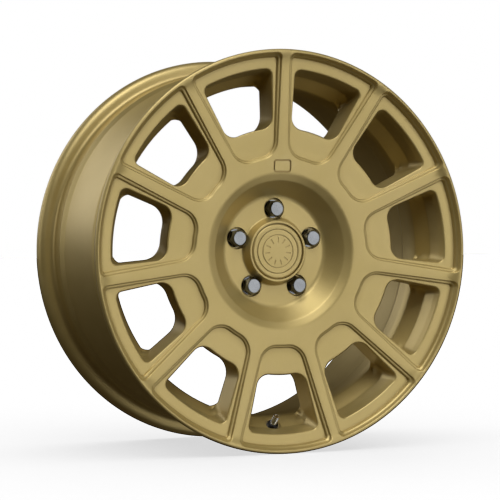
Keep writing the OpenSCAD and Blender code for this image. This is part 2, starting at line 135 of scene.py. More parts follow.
def joined(name, objects):
    # one mesh of all, with shared edges merged and faces turned outwards
    whole = bmesh.new()
    for o in objects:
        whole.from_mesh(o.data)
        old = o.data
        bpy.data.objects.remove(o)
        bpy.data.meshes.remove(old)
    bmesh.ops.remove_doubles(whole, verts=whole.verts, dist=mergeGap)
    bmesh.ops.recalc_face_normals(whole, faces=whole.faces)
    mesh = bpy.data.meshes.new(name)
    whole.to_mesh(mesh)
    whole.free()
    obj = bpy.data.objects.new(name, mesh)
    bpy.context.scene.collection.objects.link(obj)
    return obj


def evaluated(obj, name):
    # the object's final mesh as a plain one, with its modifiers gone
    graph = bpy.context.evaluated_depsgraph_get()
    mesh = bpy.data.meshes.new_from_object(obj.evaluated_get(graph))
    old = obj.data
    bpy.data.objects.remove(obj)
    if old.users == 0:
        bpy.data.meshes.remove(old)
    mesh.name = name
    fresh = bpy.data.objects.new(name, mesh)
    bpy.context.scene.collection.objects.link(fresh)
    return fresh


def smoothShade(obj, sharpAngle=38):
    limit = math.radians(sharpAngle)
    edit = bmesh.new()
    edit.from_mesh(obj.data)
    for side in edit.faces:
        side.smooth = True
    for edge in edit.edges:
        edge.smooth = not (len(edge.link_faces) == 2 and edge.calc_face_angle(0) > limit)
    edit.to_mesh(obj.data)
    edit.free()


class Wire:
    # a socket that takes part in sums
    def __init__(self, tree, socket):
        self.tree = tree
        self.socket = socket

    def maths(self, operation, *others):
        values = {0: self}
        for i, other in enumerate(others):
            values[i + 1] = other
        return self.tree.node("ShaderNodeMath", {"operation": operation}, values)

    def __add__(self, other):
        return self.maths("ADD", other)

    def __sub__(self, other):
        return self.maths("SUBTRACT", other)

    def __mul__(self, other):
        return self.maths("MULTIPLY", other)

    def __rsub__(self, other):
        return self.tree.node("ShaderNodeMath", {"operation": "SUBTRACT"}, {0: other, 1: self})

    __radd__ = __add__
    __rmul__ = __mul__


class Paint:
    # one material and its nodes
    def __init__(self, name):
        self.material = bpy.data.materials.new(name)
        self.material.use_nodes = True
        self.nodes = self.material.node_tree.nodes
        self.links = self.material.node_tree.links
        self.nodes.clear()
        self.shader = self.nodes.new("ShaderNodeBsdfPrincipled")
        out = self.nodes.new("ShaderNodeOutputMaterial")
        self.links.new(self.shader.outputs[0], out.inputs["Surface"])

    def node(self, kind, settings=None, values=None, output=0):
        made = self.nodes.new(kind)
        for key, value in (settings or {}).items():
            setattr(made, key, value)
        for key, value in (values or {}).items():
            if isinstance(value, Wire):
                self.links.new(value.socket, made.inputs[key])
            else:
                made.inputs[key].default_value = value
        return Wire(self, made.outputs[output])

    def coords(self):
        return self.node("ShaderNodeTexCoord", output="Object")

    def noise(self, scale, detail, roughness, at):
        return self.node("ShaderNodeTexNoise", None, {
            "Vector": at, "Scale": scale, "Detail": detail, "Roughness": roughness})

    def mix(self, factor, a, b):
        return self.node("ShaderNodeMix", {"data_type": "RGBA"}, {0: factor, 6: a, 7: b}, output=2)

    def spread(self, value, low, high, toLow=0.0, toHigh=1.0):
        return self.node("ShaderNodeMapRange", {"clamp": True}, {
            0: value, 1: low, 2: high, 3: toLow, 4: toHigh})

    def edges(self, low, high):
        # 0 on flat places, 1 on outer edges
        pointy = self.node("ShaderNodeNewGeometry", output="Pointiness")
        return self.spread(pointy, low, high)

    def creaseShadeMask(self, low, high):
        # 1 in inner corners, where shade is painted, 0 elsewhere
        pointy = self.node("ShaderNodeNewGeometry", output="Pointiness")
        return self.spread(pointy, low, high, 1.0, 0.0)

    def set(self, **values):
        names = {"colour": "Base Color", "metallic": "Metallic", "roughness": "Roughness",
                 "coat": "Coat Weight", "coatRoughness": "Coat Roughness", "normal": "Normal",
                 "specular": "Specular IOR Level"}
        for key, value in values.items():
            socket = self.shader.inputs[names[key]]
            if isinstance(value, Wire):
                self.links.new(value.socket, socket)
            else:
                socket.default_value = value

    def bump(self, height, strength, distance):
        return self.node("ShaderNodeBump", None, {
            "Height": height, "Strength": strength, "Distance": distance})


def rgb(text):
    # a screen colour such as AB9A64 as linear light
    parts = [int(text[i:i + 2], 16) / 255 for i in (0, 2, 4)]
    return (*[c / 12.92 if c <= 0.04045 else ((c + 0.055) / 1.055) ** 2.4 for c in parts], 1)


# the dark brown crease colour in this table is painted shade for inner corners
# the pale edge colour in this table is a painted highlight for outer edges
goldPaint = {
    "light": "C3AE70", "deep": "B8A362", "edgeHighlight": "D3C593", "creaseShade": "6E4E12", "metallic": 0.62,
    "roughness": 0.45, "coat": 0.5, "coatRoughness": 0.42, "edgeHighlightAmount": 0.5, "creaseShadeAmount": 0.6,
    "broadScale": 9, "cloudScale": 55, "fleckScale": 2600, "grainScale": 5200, "grainDepth": 0.00003,
}


def makeGold(name, lighter=0.0):
    p = Paint(name)
    at = p.coords()
    broad = p.noise(goldPaint["broadScale"], 3, 0.55, at)
    cloud = p.noise(goldPaint["cloudScale"], 4, 0.6, at)
    fleck = p.noise(goldPaint["fleckScale"], 1, 0.5, at)
    grain = p.noise(goldPaint["grainScale"], 2, 0.6, at)
    tone = p.spread(broad * 0.45 + cloud * 0.25 + fleck * 0.3 + lighter, 0.36, 0.64)
    base = p.mix(tone, rgb(goldPaint["deep"]), rgb(goldPaint["light"]))
    # painted highlight: outer edges turn paler, in patches
    edge = p.edges(0.52, 0.62) * p.spread(cloud, 0.35, 0.6) * goldPaint["edgeHighlightAmount"]
    base = p.mix(edge, base, rgb(goldPaint["edgeHighlight"]))
    # painted shade: inner corners and creases darkened
    base = p.mix(p.creaseShadeMask(0.4, 0.49) * goldPaint["creaseShadeAmount"], base, rgb(goldPaint["creaseShade"]))
    rough = goldPaint["roughness"] + (cloud - 0.5) * 0.1 + (fleck - 0.5) * 0.16
    p.set(colour=base, metallic=goldPaint["metallic"], roughness=rough, coat=goldPaint["coat"],
          coatRoughness=goldPaint["coatRoughness"],
          normal=p.bump(grain, 0.25, goldPaint["grainDepth"]))
    return p.material


def makeMetal(name, colour, roughness, scale=900, wear=0.3, depth=0.00002):
    p = Paint(name)
    at = p.coords()
    smear = p.noise(scale, 3, 0.6, at)
    broad = p.noise(60, 3, 0.5, at)
    dark = tuple(c * 0.72 for c in colour[:3]) + (1,)
    base = p.mix(p.spread(smear * 0.5 + broad * 0.5, 0.38, 0.62), dark, colour)
    rough = roughness + (smear - 0.5) * wear * 0.5 + (broad - 0.5) * wear * 0.4
    p.set(colour=base, metallic=1.0, roughness=rough, normal=p.bump(smear, 0.2, depth))
    return p.material


def makePlastic(name, colour, roughness, scale=1400, depth=0.00004):
    p = Paint(name)
    at = p.coords()
    grain = p.noise(scale, 4, 0.65, at)
    broad = p.noise(45, 3, 0.5, at)
    pale = tuple(min(1, c * 1.6 + 0.006) for c in colour[:3]) + (1,)
    base = p.mix(p.spread(broad * 0.6 + grain * 0.4, 0.35, 0.7), colour, pale)
    base = p.mix(p.edges(0.53, 0.66) * 0.35, base, pale)
    p.set(colour=base, metallic=0.0, roughness=roughness + (grain - 0.5) * 0.25,
          normal=p.bump(grain, 0.35, depth))
    return p.material


gold = makeGold("satinGold")
capGold = makeGold("satinGoldCap", 0.02)
chrome = makeMetal("chromePlate", (0.2, 0.21, 0.222, 1), 0.15, 700, 0.12)
nickel = makeMetal("brightNickel", (0.62, 0.63, 0.64, 1), 0.24, 900, 0.2)
darkSteel = makeMetal("darkPlatedSteel", (0.045, 0.045, 0.048, 1), 0.38, 1200, 0.3)
springWire = makeMetal("springWire", (0.42, 0.43, 0.44, 1), 0.3, 1500, 0.3)
brass = makeMetal("turnedBrass", (0.68, 0.48, 0.2, 1), 0.28, 1500, 0.3)
rubber = makePlastic("mouldedRubber", (0.012, 0.012, 0.012, 1), 0.75)
nylon = makePlastic("mouldedNylon", (0.018, 0.018, 0.019, 1), 0.5)
whiteSeal = makePlastic("whiteSeal", (0.72, 0.72, 0.69, 1), 0.45)
print("materials made")


# sizes are in millimetres, and depths run back from the lip
face = {
    "spokes": 11, "topIn": 14.9, "topOut": 4.4, "topEnd": 13.6, "backIn": 53.0, "backOut": 49.3,
    "spokeWIn": 19.2, "spokeWOut": 15.8, "pocketRIn": 112.5, "lipW": 9.0,
    "pocketHIn": 4.1, "pocketHOut": 5.4, "pocketCornerIn": 20.0, "pocketCornerOut": 4.0,
    "windowRIn": 144.5, "windowRimW": 22.4, "windowGapIn": 24.6, "windowGapOut": 31.0,
    "windowCornerIn": 15.0, "windowCornerOut": 7.5, "growthIn": 0.24, "growthOut": 0.13,
    "undercut": 0.15, "ledgeSpread": 1.2, "ledgeFrom": 0.42, "ledgeBlend": 0.06,
    "backFillet": 9.0, "backFilletPower": 2.2, "slopeSoft": 0.12, "slopeSoftReach": 2.5,
    "ringDepth": 36.0, "ringDrop": 5.2,
}
rim = {
    "flangeH": 17.3, "flangeT": 13.5, "seatL": 19.0, "humpH": 1.3, "humpL": 4.0, "wellH": 17.3,
    "wellL": 27.0, "slopeRun": 21.0, "barrelT": 4.6, "barrelRise": 6.0, "curlR": 9.0,
    "beadCorner": 6.0, "lipCorner": 2.8, "flare": 7.5,
}
hub = {
    "backDepth": 60.75, "padR": 71.0, "padDepth": 37.6, "nutPadR": 65.0, "recessR": 88.0,
    "bossR": 35.8, "bossDepth": 26.3, "bossBaseR": 40.0, "bore": 56.1, "channelDepth": 34.0,
    "channelR": 110.0, "rebateR": 33.2, "rebateDepth": 31.1, "capBoreR": 30.0,
    "capBoreDepth": 41.7, "lugR": 50.0, "lugs": 5, "studHole": 14.0, "nutPocket": 25.4,
    "seatDepth": 43.5, "seatD": 21.6, "reliefD": 23.0, "reliefH": 11.0,
}

pitch = turn / face["spokes"]
rootR = 98.0  # where the spokes' sectors meet the turned hub
topRIn = hub["recessR"] + 4
topROut = flangeR - face["topEnd"]
pocketROut = flangeR - face["lipW"]
windowROut = flangeR - face["windowRimW"]
seatR = flangeR - rim["flangeH"]
seatDrop = rim["seatL"] * math.tan(math.radians(5))
wellR = seatR - rim["wellH"]
wellInR = wellR - rim["barrelT"]
wellDepth0 = rim["flangeT"] + rim["seatL"] + rim["humpL"] + rim["slopeRun"]
wellDepth1 = wellDepth0 + rim["wellL"]
slopeR = windowROut - face["ringDrop"] + 0.5
wellInDepth = wellDepth0 - 4
slopeK = (slopeR - wellInR) / (wellInDepth - face["ringDepth"])


def topDepth(r):
    # the spoke tops as one straight line
    return face["topIn"] + (face["topOut"] - face["topIn"]) * (r - topRIn) / (topROut - topRIn)


def floorDepth(r):
    share = (r - face["pocketRIn"]) / (pocketROut - face["pocketRIn"])
    return topDepth(r) + face["pocketHIn"] + (face["pocketHOut"] - face["pocketHIn"]) * share


# the turned face, from the boss to the lip
frontPath = roundedPath([
    (hub["bossR"] - 1.2, hub["bossDepth"], 0),
    (hub["bossR"], hub["bossDepth"], 1.1),
    (hub["bossBaseR"], hub["padDepth"], 2.5),
    (hub["nutPadR"], hub["padDepth"], 9),
    (hub["recessR"] - 5, face["topIn"] + 4.6, 9),
    (topRIn, topDepth(topRIn), 12),
    (topROut, topDepth(topROut), 14),
    (flangeR - 6.4, 1, 5),
    (flangeR - 3.8, 0, 1.5),
    (flangeR - rim["lipCorner"], 0, 0)], steps=8)


def frontDepth(r):
    # depth of the turned front face at a radius
    for a, b in zip(frontPath, frontPath[1:]):
        if a[0] <= r <= b[0]:
            return a[1] + (b[1] - a[1]) * (r - a[0]) / max(1e-9, b[0] - a[0])
    return frontPath[-1][1] if r > frontPath[-1][0] else frontPath[0][1]


def backDepth(r):
    # depth of the spokes' back, with a fillet where it meets the barrel
    share = (r - hub["channelR"]) / (wellInR - hub["channelR"])
    plain = face["backIn"] + (face["backOut"] - face["backIn"]) * share
    near = max(0.0, (r - wellInR) / face["backFillet"] + 1)
    return plain + (wellInDepth - face["backOut"]) * near ** face["backFilletPower"]


def smooth(t):
    return t * t * (3 - 2 * t)


def blend(a, b, t):
    return a + (b - a) * t


# points of a half outline, from the outer middle to the inner middle
outerSteps = 8
cornerSteps = 8
sideSteps = 14
innerSteps = 7
halfSteps = outerSteps + 2 * cornerSteps + sideSteps + innerSteps
outCount = outerSteps + cornerSteps // 2
inCount = innerSteps + cornerSteps // 2
arcShare = 0.82  # share of a bay that the outer arc takes


def edgeAngle(i):
    # a rim point's angle from the bay's middle, close to the pocket's own point
    if i <= outerSteps:
        return pitch / 2 * arcShare * i / outerSteps
    return pitch / 2 * (arcShare + (1 - arcShare) * (i - outerSteps) / (outCount - outerSteps))


def halfBay(rIn, rOut, gapIn, gapOut, cornerIn, cornerOut):
    # (along, across) points of half an outline between two spokes
    aOut = pitch / 2 - math.asin(gapOut / 2 / rOut)
    aIn = pitch / 2 - math.asin(gapIn / 2 / rIn)
    p = Vector((rIn * math.cos(aIn), rIn * math.sin(aIn)))
    q = Vector((rOut * math.cos(aOut), rOut * math.sin(aOut)))
    along = (q - p).normalized()
    inward = Vector((along.y, -along.x))
    pts = []
    # fillet between the outer arc and the side
    base = p + inward * cornerOut
    b = base.dot(along)
    c = base.dot(base) - (rOut - cornerOut) ** 2
    midOut = base + along * (-b + math.sqrt(b * b - c))
    startOut = math.atan2(midOut.y, midOut.x)
    # fillet between the inner arc and the side
    base = p + inward * cornerIn
    b = base.dot(along)
    c = base.dot(base) - (rIn + cornerIn) ** 2
    midIn = base + along * (-b + math.sqrt(max(0.0, b * b - c)))
    endIn = math.atan2(midIn.y, midIn.x)
    for i in range(outerSteps):
        a = startOut * i / outerSteps
        pts.append(Vector((rOut * math.cos(a), rOut * math.sin(a))))
    sideAngle = math.atan2(-inward.y, -inward.x)
    for i in range(cornerSteps):
        a = startOut + (sideAngle - startOut) * i / cornerSteps
        pts.append(midOut + cornerOut * Vector((math.cos(a), math.sin(a))))
    s0 = midOut - inward * cornerOut
    s1 = midIn - inward * cornerIn
    for i in range(sideSteps):
        pts.append(s0.lerp(s1, (i / sideSteps) ** 1.3))
    a1 = endIn + math.pi
    for i in range(cornerSteps):
        a = sideAngle + (a1 - sideAngle) * i / cornerSteps
        pts.append(midIn + cornerIn * Vector((math.cos(a), math.sin(a))))
    for i in range(innerSteps + 1):
        a = endIn * (1 - i / innerSteps)
        pts.append(Vector((rIn * math.cos(a), rIn * math.sin(a))))
    return pts


def stationWeights(i):
    # how much a point belongs to the outer arc and to the inner arc
    first = i - outerSteps
    if first <= 0:
        return 1.0, 0.0
    if first < cornerSteps:
        return 1 - smooth(first / cornerSteps), 0.0
    last = i - (outerSteps + cornerSteps + sideSteps)
    if last <= 0:
        return 0.0, 0.0
    return 0.0, smooth(min(1.0, last / cornerSteps))


def wholeRing(half, depths):
    # mirrors a half outline into a closed ring of points round one bay
    ring = []
    for pt, depth in zip(half, depths):
        ring.append((pt.length, math.atan2(pt.y, pt.x), depth))
    back = [(r, -a, d) for r, a, d in ring[1:-1]]
    return [place(r, pitch / 2 + a, d) for r, a, d in ring + back[::-1]]


def cellBoundary(rIn, rOut, depthAt, outDepth=None):
    # a ring on the middle lines of the two spokes
    pts = []
    depths = []
    sideCount = halfSteps - outCount - inCount
    for i in range(outCount + 1):
        a = edgeAngle(i)
        pts.append(Vector((rOut * math.cos(a), rOut * math.sin(a))))
        depths.append(depthAt(rOut) if outDepth is None else outDepth)
    for i in range(1, sideCount):
        r = rOut + (rIn - rOut) * (i / sideCount) ** 1.35
        pts.append(Vector((r * math.cos(pitch / 2), r * math.sin(pitch / 2))))
        depths.append(depthAt(r))
    for i in range(inCount + 1):
        a = pitch / 2 * (1 - i / inCount)
        pts.append(Vector((rIn * math.cos(a), rIn * math.sin(a))))
        depths.append(depthAt(rIn))
    return wholeRing(pts, depths)


# pocket wall, from the spoke's top to the floor: each row gives the side's offset and share of
# the drop, the rim end's radius from the flange and depth, the hub end's offset and share
pocketWall = [
    (3.5, 0.00, 2.9, 0.00, 4.6, 0.00),
    (3.0, 0.015, 3.5, 0.05, 3.9, 0.015),
    (2.6, 0.07, 4.1, 0.4, 3.3, 0.06),
    (2.3, 0.18, 4.6, 1.1, 2.8, 0.14),
    (2.1, 0.33, 5.3, 2.6, 2.4, 0.27),
    (1.85, 0.42, 5.9, 3.7, 2.0, 0.36),
    (1.4, 0.455, 6.4, 4.5, 1.5, 0.41),
    (0.6, 0.48, 6.9, 5.0, 0.7, 0.45),
    (0.25, 0.54, 7.5, 5.4, 0.35, 0.52),
    (0.05, 0.70, 8.1, 6.3, 0.1, 0.68),
    (-0.15, 0.87, 8.7, 7.8, -0.2, 0.85),
    (-0.5, 0.965, 9.4, 9.1, -0.6, 0.95),
    (-1.1, 1.0, 10.6, None, -1.4, 1.0),
]
# rounded edge of a window: offset outwards and depth below the pocket's floor
windowEdge = [(2.2, 0.0), (1.5, 0.1), (0.85, 0.42), (0.35, 1.0), (0.08, 1.7), (0.0, 2.5)]
backEdge = [(0.0, 2.6), (0.1, 1.8), (0.4, 1.05), (0.95, 0.4), (1.7, 0.08), (2.6, 0.0)]
wallDepths = (16.0, 21.0, 27.0, 32.5, 35.0, 36.2, 37.6, 40.5, 43.5)


def ringWallR(depth):
    # inside of the front ring, then the slope down to the drop centre
    if depth <= face["ringDepth"]:
        share = (depth - face["pocketHOut"]) / (face["ringDepth"] - face["pocketHOut"])
        return windowROut + 0.5 + (slopeR - windowROut - 0.5) * share
    return slopeR - slopeK * (depth - face["ringDepth"])


def softRingWallR(depth):
    # the same wall with its outer edge rounded
    near = abs(depth - face["ringDepth"]) / face["slopeSoftReach"]
    return ringWallR(depth) - face["slopeSoft"] * max(0.0, 1 - near) ** 2


def windowCorners(depth):
    # a window's corners at the hub and at the ring, which widen towards the back
    run = max(0.0, depth - wallDepths[0])
    return (face["windowCornerIn"] + face["growthIn"] * run,
            face["windowCornerOut"] + face["growthOut"] * run)


def undercut(depth):
    # how far the window's inner end leans in below its front edge
    return face["undercut"] * max(0.0, depth - wallDepths[0])


def outerSide(side, share):
    # a pocket wall's offset at the rim, where the ledge is wider than at the hub
    onLedge = max(0.0, min(1.0, (share - face["ledgeFrom"]) / face["ledgeBlend"]))
    return side - face["ledgeSpread"] * smooth(onLedge)


def makeSector():
    rings = [cellBoundary(rootR, flangeR - rim["lipCorner"], frontDepth)]
    weights = [stationWeights(i) for i in range(halfSteps + 1)]
    for side, share, rimIn, rimDepth, hubOff, hubShare in pocketWall:
        half = halfBay(face["pocketRIn"] - hubOff, flangeR - rimIn,
                       face["spokeWIn"] - 2 * side, face["spokeWOut"] - 2 * outerSide(side, share),
                       face["pocketCornerIn"] + hubOff, face["pocketCornerOut"] + max(-1.5, side))
        depths = []
        for pt, (wOut, wIn) in zip(half, weights):
            floor = floorDepth(pt.length)
            plain = blend(frontDepth(pt.length), floor, blend(share, hubShare, wIn))
            depths.append(blend(plain, floor if rimDepth is None else rimDepth, wOut))
        rings.append(wholeRing(half, depths))
    # the floor, then the window's rounded edge
    side, share, rimIn, rimDepth, hubOff, hubShare = pocketWall[-1]
    off = windowEdge[0][0]
    for t in (0.35, 0.7):
        half = halfBay(
            blend(face["pocketRIn"] - hubOff, face["windowRIn"] - off, t),
            blend(flangeR - rimIn, windowROut + off, t),
            blend(face["spokeWIn"] - 2 * side, face["windowGapIn"] - 2.4, t),
            blend(face["spokeWOut"] - 2 * outerSide(side, share), face["windowGapOut"] - 2 * off, t),
            face["pocketCornerIn"], face["pocketCornerOut"] + 3 * t)
        rings.append(wholeRing(half, [floorDepth(pt.length) for pt in half]))
    for off, drop in windowEdge:
        half = halfBay(face["windowRIn"] - off, windowROut + off,
                       face["windowGapIn"] - 1.1 * off, face["windowGapOut"] - 2 * off,
                       face["windowCornerIn"] + off, face["windowCornerOut"] + off)
        rings.append(wholeRing(half, [floorDepth(pt.length) + drop for pt in half]))
    for depth in wallDepths:
        half = halfBay(face["windowRIn"] - undercut(depth), softRingWallR(depth), face["windowGapIn"],
                       face["windowGapOut"], *windowCorners(depth))
        rings.append(wholeRing(half, [depth] * len(half)))
    backIn, backOut = windowCorners(wallDepths[-1])
    backR = face["windowRIn"] - undercut(wallDepths[-1])
    for k, (off, rise) in enumerate(backEdge):
        outDepth = 45.5 + 1.25 * k
        half = halfBay(backR - off, ringWallR(outDepth), face["windowGapIn"] - 2 * off,
                       face["windowGapOut"] - 2 * off, backIn + off, backOut + off)
        depths = [backDepth(pt.length) - rise for pt in half]
        depths = [blend(d, outDepth, w[0]) for d, w in zip(depths, weights)]
        rings.append(wholeRing(half, depths))
    rings.append(cellBoundary(hub["channelR"], wellInR, backDepth, wellInDepth))
    verts = [v for ring in rings for v in ring]
    return meshObject("spokeSector", verts, gridFaces(len(rings), len(rings[0])))


def repeatTree(name):
    # Geometry Nodes: copies a part round the axle, joins the copies and gives them a material
    tree = bpy.data.node_groups.new(name, "GeometryNodeTree")
    tree.interface.new_socket("Geometry", in_out="INPUT", socket_type="NodeSocketGeometry")
    tree.interface.new_socket("Count", in_out="INPUT", socket_type="NodeSocketInt")
    tree.interface.new_socket("Merge Distance", in_out="INPUT", socket_type="NodeSocketFloat")
    tree.interface.new_socket("Material", in_out="INPUT", socket_type="NodeSocketMaterial")
    tree.interface.new_socket("Geometry", in_out="OUTPUT", socket_type="NodeSocketGeometry")
    add = tree.nodes.new
    link = tree.links.new
    source = add("NodeGroupInput")
    out = add("NodeGroupOutput")
    points = add("GeometryNodePoints")
    link(source.outputs["Count"], points.inputs["Count"])
    index = add("GeometryNodeInputIndex")
    step = add("ShaderNodeMath")
    step.operation = "DIVIDE"
    step.inputs[0].default_value = turn
    link(source.outputs["Count"], step.inputs[1])
    angle = add("ShaderNodeMath")
    angle.operation = "MULTIPLY"
    link(index.outputs[0], angle.inputs[0])
    link(step.outputs[0], angle.inputs[1])
    rotation = add("ShaderNodeCombineXYZ")
    link(angle.outputs[0], rotation.inputs["Y"])
    copies = add("GeometryNodeInstanceOnPoints")
    link(points.outputs[0], copies.inputs["Points"])
    link(source.outputs["Geometry"], copies.inputs["Instance"])
    link(rotation.outputs[0], copies.inputs["Rotation"])
    real = add("GeometryNodeRealizeInstances")
    link(copies.outputs[0], real.inputs[0])
    merge = add("GeometryNodeMergeByDistance")
    link(real.outputs[0], merge.inputs["Geometry"])
    link(source.outputs["Merge Distance"], merge.inputs["Distance"])
    paint = add("GeometryNodeSetMaterial")
    link(merge.outputs[0], paint.inputs["Geometry"])
    link(source.outputs["Material"], paint.inputs["Material"])
    link(paint.outputs[0], out.inputs[0])
    return tree


def repeatRound(obj, count, material, name):
    modifier = obj.modifiers.new("round", "NODES")
    modifier.node_group = repeatAround
    sockets = {s.name: s.identifier for s in repeatAround.interface.items_tree if s.in_out == "INPUT"}
    modifier[sockets["Count"]] = count
    modifier[sockets["Merge Distance"]] = mergeGap
    modifier[sockets["Material"]] = material
    return evaluated(obj, name)


repeatAround = repeatTree("repeatAround")


def makeRimBand():
    # from the lip round the tyre side to the back of the slope
    seatEnd = seatR - seatDrop
    rearSeat = rimW - rim["flangeT"]
    rearHump = rearSeat - rim["seatL"] - rim["humpL"]
    footDepth = rearHump - 8
    footR = seatR - 4.2
    barrelDepth = wellDepth1 + 12
    mouthR = footR
    path = roundedPath([
        (flangeR - rim["lipCorner"], 0, 0),
        (flangeR, 0, rim["lipCorner"] - 0.02), (flangeR, rim["flangeT"], rim["curlR"]),
        (seatR, rim["flangeT"], rim["beadCorner"]),
        (seatEnd, rim["flangeT"] + rim["seatL"], 1.5),
        (seatEnd + rim["humpH"], rim["flangeT"] + rim["seatL"] + rim["humpL"], 2),
        (wellR, wellDepth0, 8), (wellR, wellDepth1, 8),
        (wellR + rim["barrelRise"], barrelDepth, 10), (footR, footDepth, 6),
        (seatEnd + rim["humpH"], rearHump, 2), (seatEnd, rearSeat - rim["seatL"], 1.5),
        (seatR, rearSeat, rim["beadCorner"]), (flangeR, rearSeat, rim["curlR"]),
        (flangeR, rimW, rim["lipCorner"]), (mouthR + rim["flare"], rimW, 2.5),
        (mouthR, rearSeat + 1, 5), (footR - rim["barrelT"], footDepth, 10),
        (wellR + rim["barrelRise"] - rim["barrelT"], barrelDepth, 8), (wellInR, wellDepth1, 8),
        (wellInR, wellInDepth, 0)], steps=4)
    half = [edgeAngle(i) for i in range(outCount + 1)]
    bay = [-a for a in half[:0:-1]] + half[:-1]
    angles = [pitch * (k + 0.5) + a for k in range(face["spokes"]) for a in bay]
    return turned("rimBand", densify(path, 16), angles)


def makeHubBand():
    # from the spokes' roots over the pad and boss, through the bore, to the back channel
    path = [p for p in frontPath if p[0] < rootR - 0.5][::-1]
    path = [(rootR, frontDepth(rootR))] + densify(path, 3)
    capLip = hub["rebateR"] + 0.4
    path += [(capLip, hub["bossDepth"]), (hub["rebateR"] + 0.1, hub["bossDepth"] + 0.12),
             (hub["rebateR"], hub["bossDepth"] + 0.5),
             (hub["rebateR"], hub["rebateDepth"]), (hub["capBoreR"] + 0.3, hub["rebateDepth"]),
             (hub["capBoreR"], hub["rebateDepth"] + 0.3),
             (hub["capBoreR"], hub["capBoreDepth"] - 3), (hub["capBoreR"] + 1, hub["capBoreDepth"] - 3),
             (hub["capBoreR"] + 1, hub["capBoreDepth"] - 1), (hub["capBoreR"], hub["capBoreDepth"] - 1),
             (hub["capBoreR"], hub["capBoreDepth"]), (hub["bore"] / 2, hub["capBoreDepth"])]
    back = roundedPath([
        (hub["bore"] / 2, hub["backDepth"] - 1.5, 0), (hub["bore"] / 2 + 1.5, hub["backDepth"], 0.4),
        (hub["padR"], hub["backDepth"], 1.2), (hub["padR"] + 7, hub["channelDepth"], 6),
        (hub["channelR"] - 5, hub["channelDepth"], 6), (hub["channelR"], face["backIn"], 0)], steps=5)
    path += densify(back, 8)
    segments = face["spokes"] * 2 * inCount
    return turned("hubBand", path, [turn * j / segments for j in range(segments)])


def cutterFrom(profile, at, axis, segments=64):
    # closed turned cutter; profile points are (radius, distance along the axis)
    turnTo = Vector((0, 0, 1)).rotation_difference(axis).to_matrix()
    verts = [at + turnTo @ (Vector((r * math.cos(turn * j / segments),
                                    r * math.sin(turn * j / segments), h)) * mm)
             for r, h in profile for j in range(segments)]
    faces = gridFaces(len(profile), segments)
    n = (len(profile) - 1) * segments
    faces += [tuple(range(segments)), tuple(n + j for j in range(segments))]
    return meshObject("cutter", verts, faces)


valve = {"tilt": 42, "down": 5.2, "hole": 11.5, "seat": 19.0, "sink": 2.4, "wall": 3.8,
         "tyreSeat": 17.2, "stem": 8.3, "tip": 7.7, "length": 17.5, "head": 14.8, "headT": 2.5,
         "grommetT": 2.2, "air": 3.2, "chamber": 5.4, "nutAf": 11.0, "nutH": 4.5,
         "washerT": 1.0, "washerRoom": 1.7, "pitch": 0.794, "threadDepth": 0.34, "threadSteps": 84}
tilt = math.radians(valve["tilt"])
valveDepth = face["ringDepth"] + valve["down"]
valveR = slopeR - slopeK * valve["down"]
stemAxis = Vector((0, -math.cos(tilt), math.sin(tilt)))
valveAt = place(valveR, math.pi, valveDepth)


def makeCutters():
    cutters = []
    back = Vector((0, 1, 0))
    front = Vector((0, -1, 0))
    for i in range(hub["lugs"]):
        a = turn * i / hub["lugs"]
        at = place(hub["lugR"], a, hub["padDepth"])
        cone = (hub["seatD"] - hub["studHole"]) / 2
        deep = hub["seatDepth"] - hub["padDepth"]
        holeAt = deep + cone / math.tan(math.radians(30))
        rP = hub["nutPocket"] / 2
        cutters.append(cutterFrom([
            (hub["studHole"] / 2, -40), (hub["studHole"] / 2, -holeAt), (hub["seatD"] / 2, -deep),
            (rP - 0.5, -deep), (rP, -deep + 0.5), (rP, -0.6), (rP + 0.06, -0.3), (rP + 0.2, -0.1),
            (rP + 0.5, 0.15), (rP + 0.5, 25)], at, front))
        half = turn / hub["lugs"] / 2
        at = place(hub["lugR"], a + half, hub["backDepth"])
        rR = hub["reliefD"] / 2
        cutters.append(cutterFrom([
            (rR - 1.5, -hub["reliefH"]), (rR - 0.4, -hub["reliefH"] + 0.4), (rR, -hub["reliefH"] + 1.5),
            (rR, -0.6), (rR + 0.6, 0.05), (rR + 0.6, 3)], at, back))
    sink = -valve["sink"]
    tyre = sink - valve["wall"]
    cutters.append(emblemCutter())
    cutters.append(cutterFrom([
        (valve["tyreSeat"] / 2, tyre - 12), (valve["tyreSeat"] / 2, tyre), (valve["hole"] / 2, tyre),
        (valve["hole"] / 2, sink), (valve["seat"] / 2 - 0.6, sink), (valve["seat"] / 2, sink + 0.6),
        (valve["seat"] / 2, 12)], valveAt, stemAxis))
    return cutters


def roundedBox(length, width, corner, steps=6):
    x = length / 2
    y = width / 2
    return roundedPath([(-x, -y, corner), (x, -y, corner), (x, y, corner), (-x, y, corner)],
                       steps, closed=True)


emblem = {"r": 100.0, "across": 23.0, "high": 15.5, "line": 2.2, "deep": 1.5, "corner": 4.0}


def emblemCutter():
    # a plain groove with rounded corners at the root of the top spoke
    outer = roundedBox(emblem["across"], emblem["high"], emblem["corner"])
    inner = roundedBox(emblem["across"] - 2 * emblem["line"], emblem["high"] - 2 * emblem["line"],
                        emblem["corner"] - emblem["line"])
    verts = []
    for outline, drop in ((outer, -3.0), (outer, emblem["deep"]), (inner, emblem["deep"]), (inner, -3.0)):
        for x, z in outline:
            r = emblem["r"] + z
            verts.append(Vector((x, topDepth(r) + drop - rimW / 2, r)) * mm)
    n = len(outer)
    faces = gridFaces(4, n)
    faces += [(3 * n + j, 3 * n + (j + 1) % n, (j + 1) % n, j) for j in range(n)]
    return meshObject("cutter", verts, faces)


def finish(piece, body, node, material, sharpAngle=38):
    smoothShade(piece, sharpAngle)
    piece.data.materials.clear()
    piece.data.materials.append(material)
    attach(piece, body)
    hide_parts(node)
    return piece


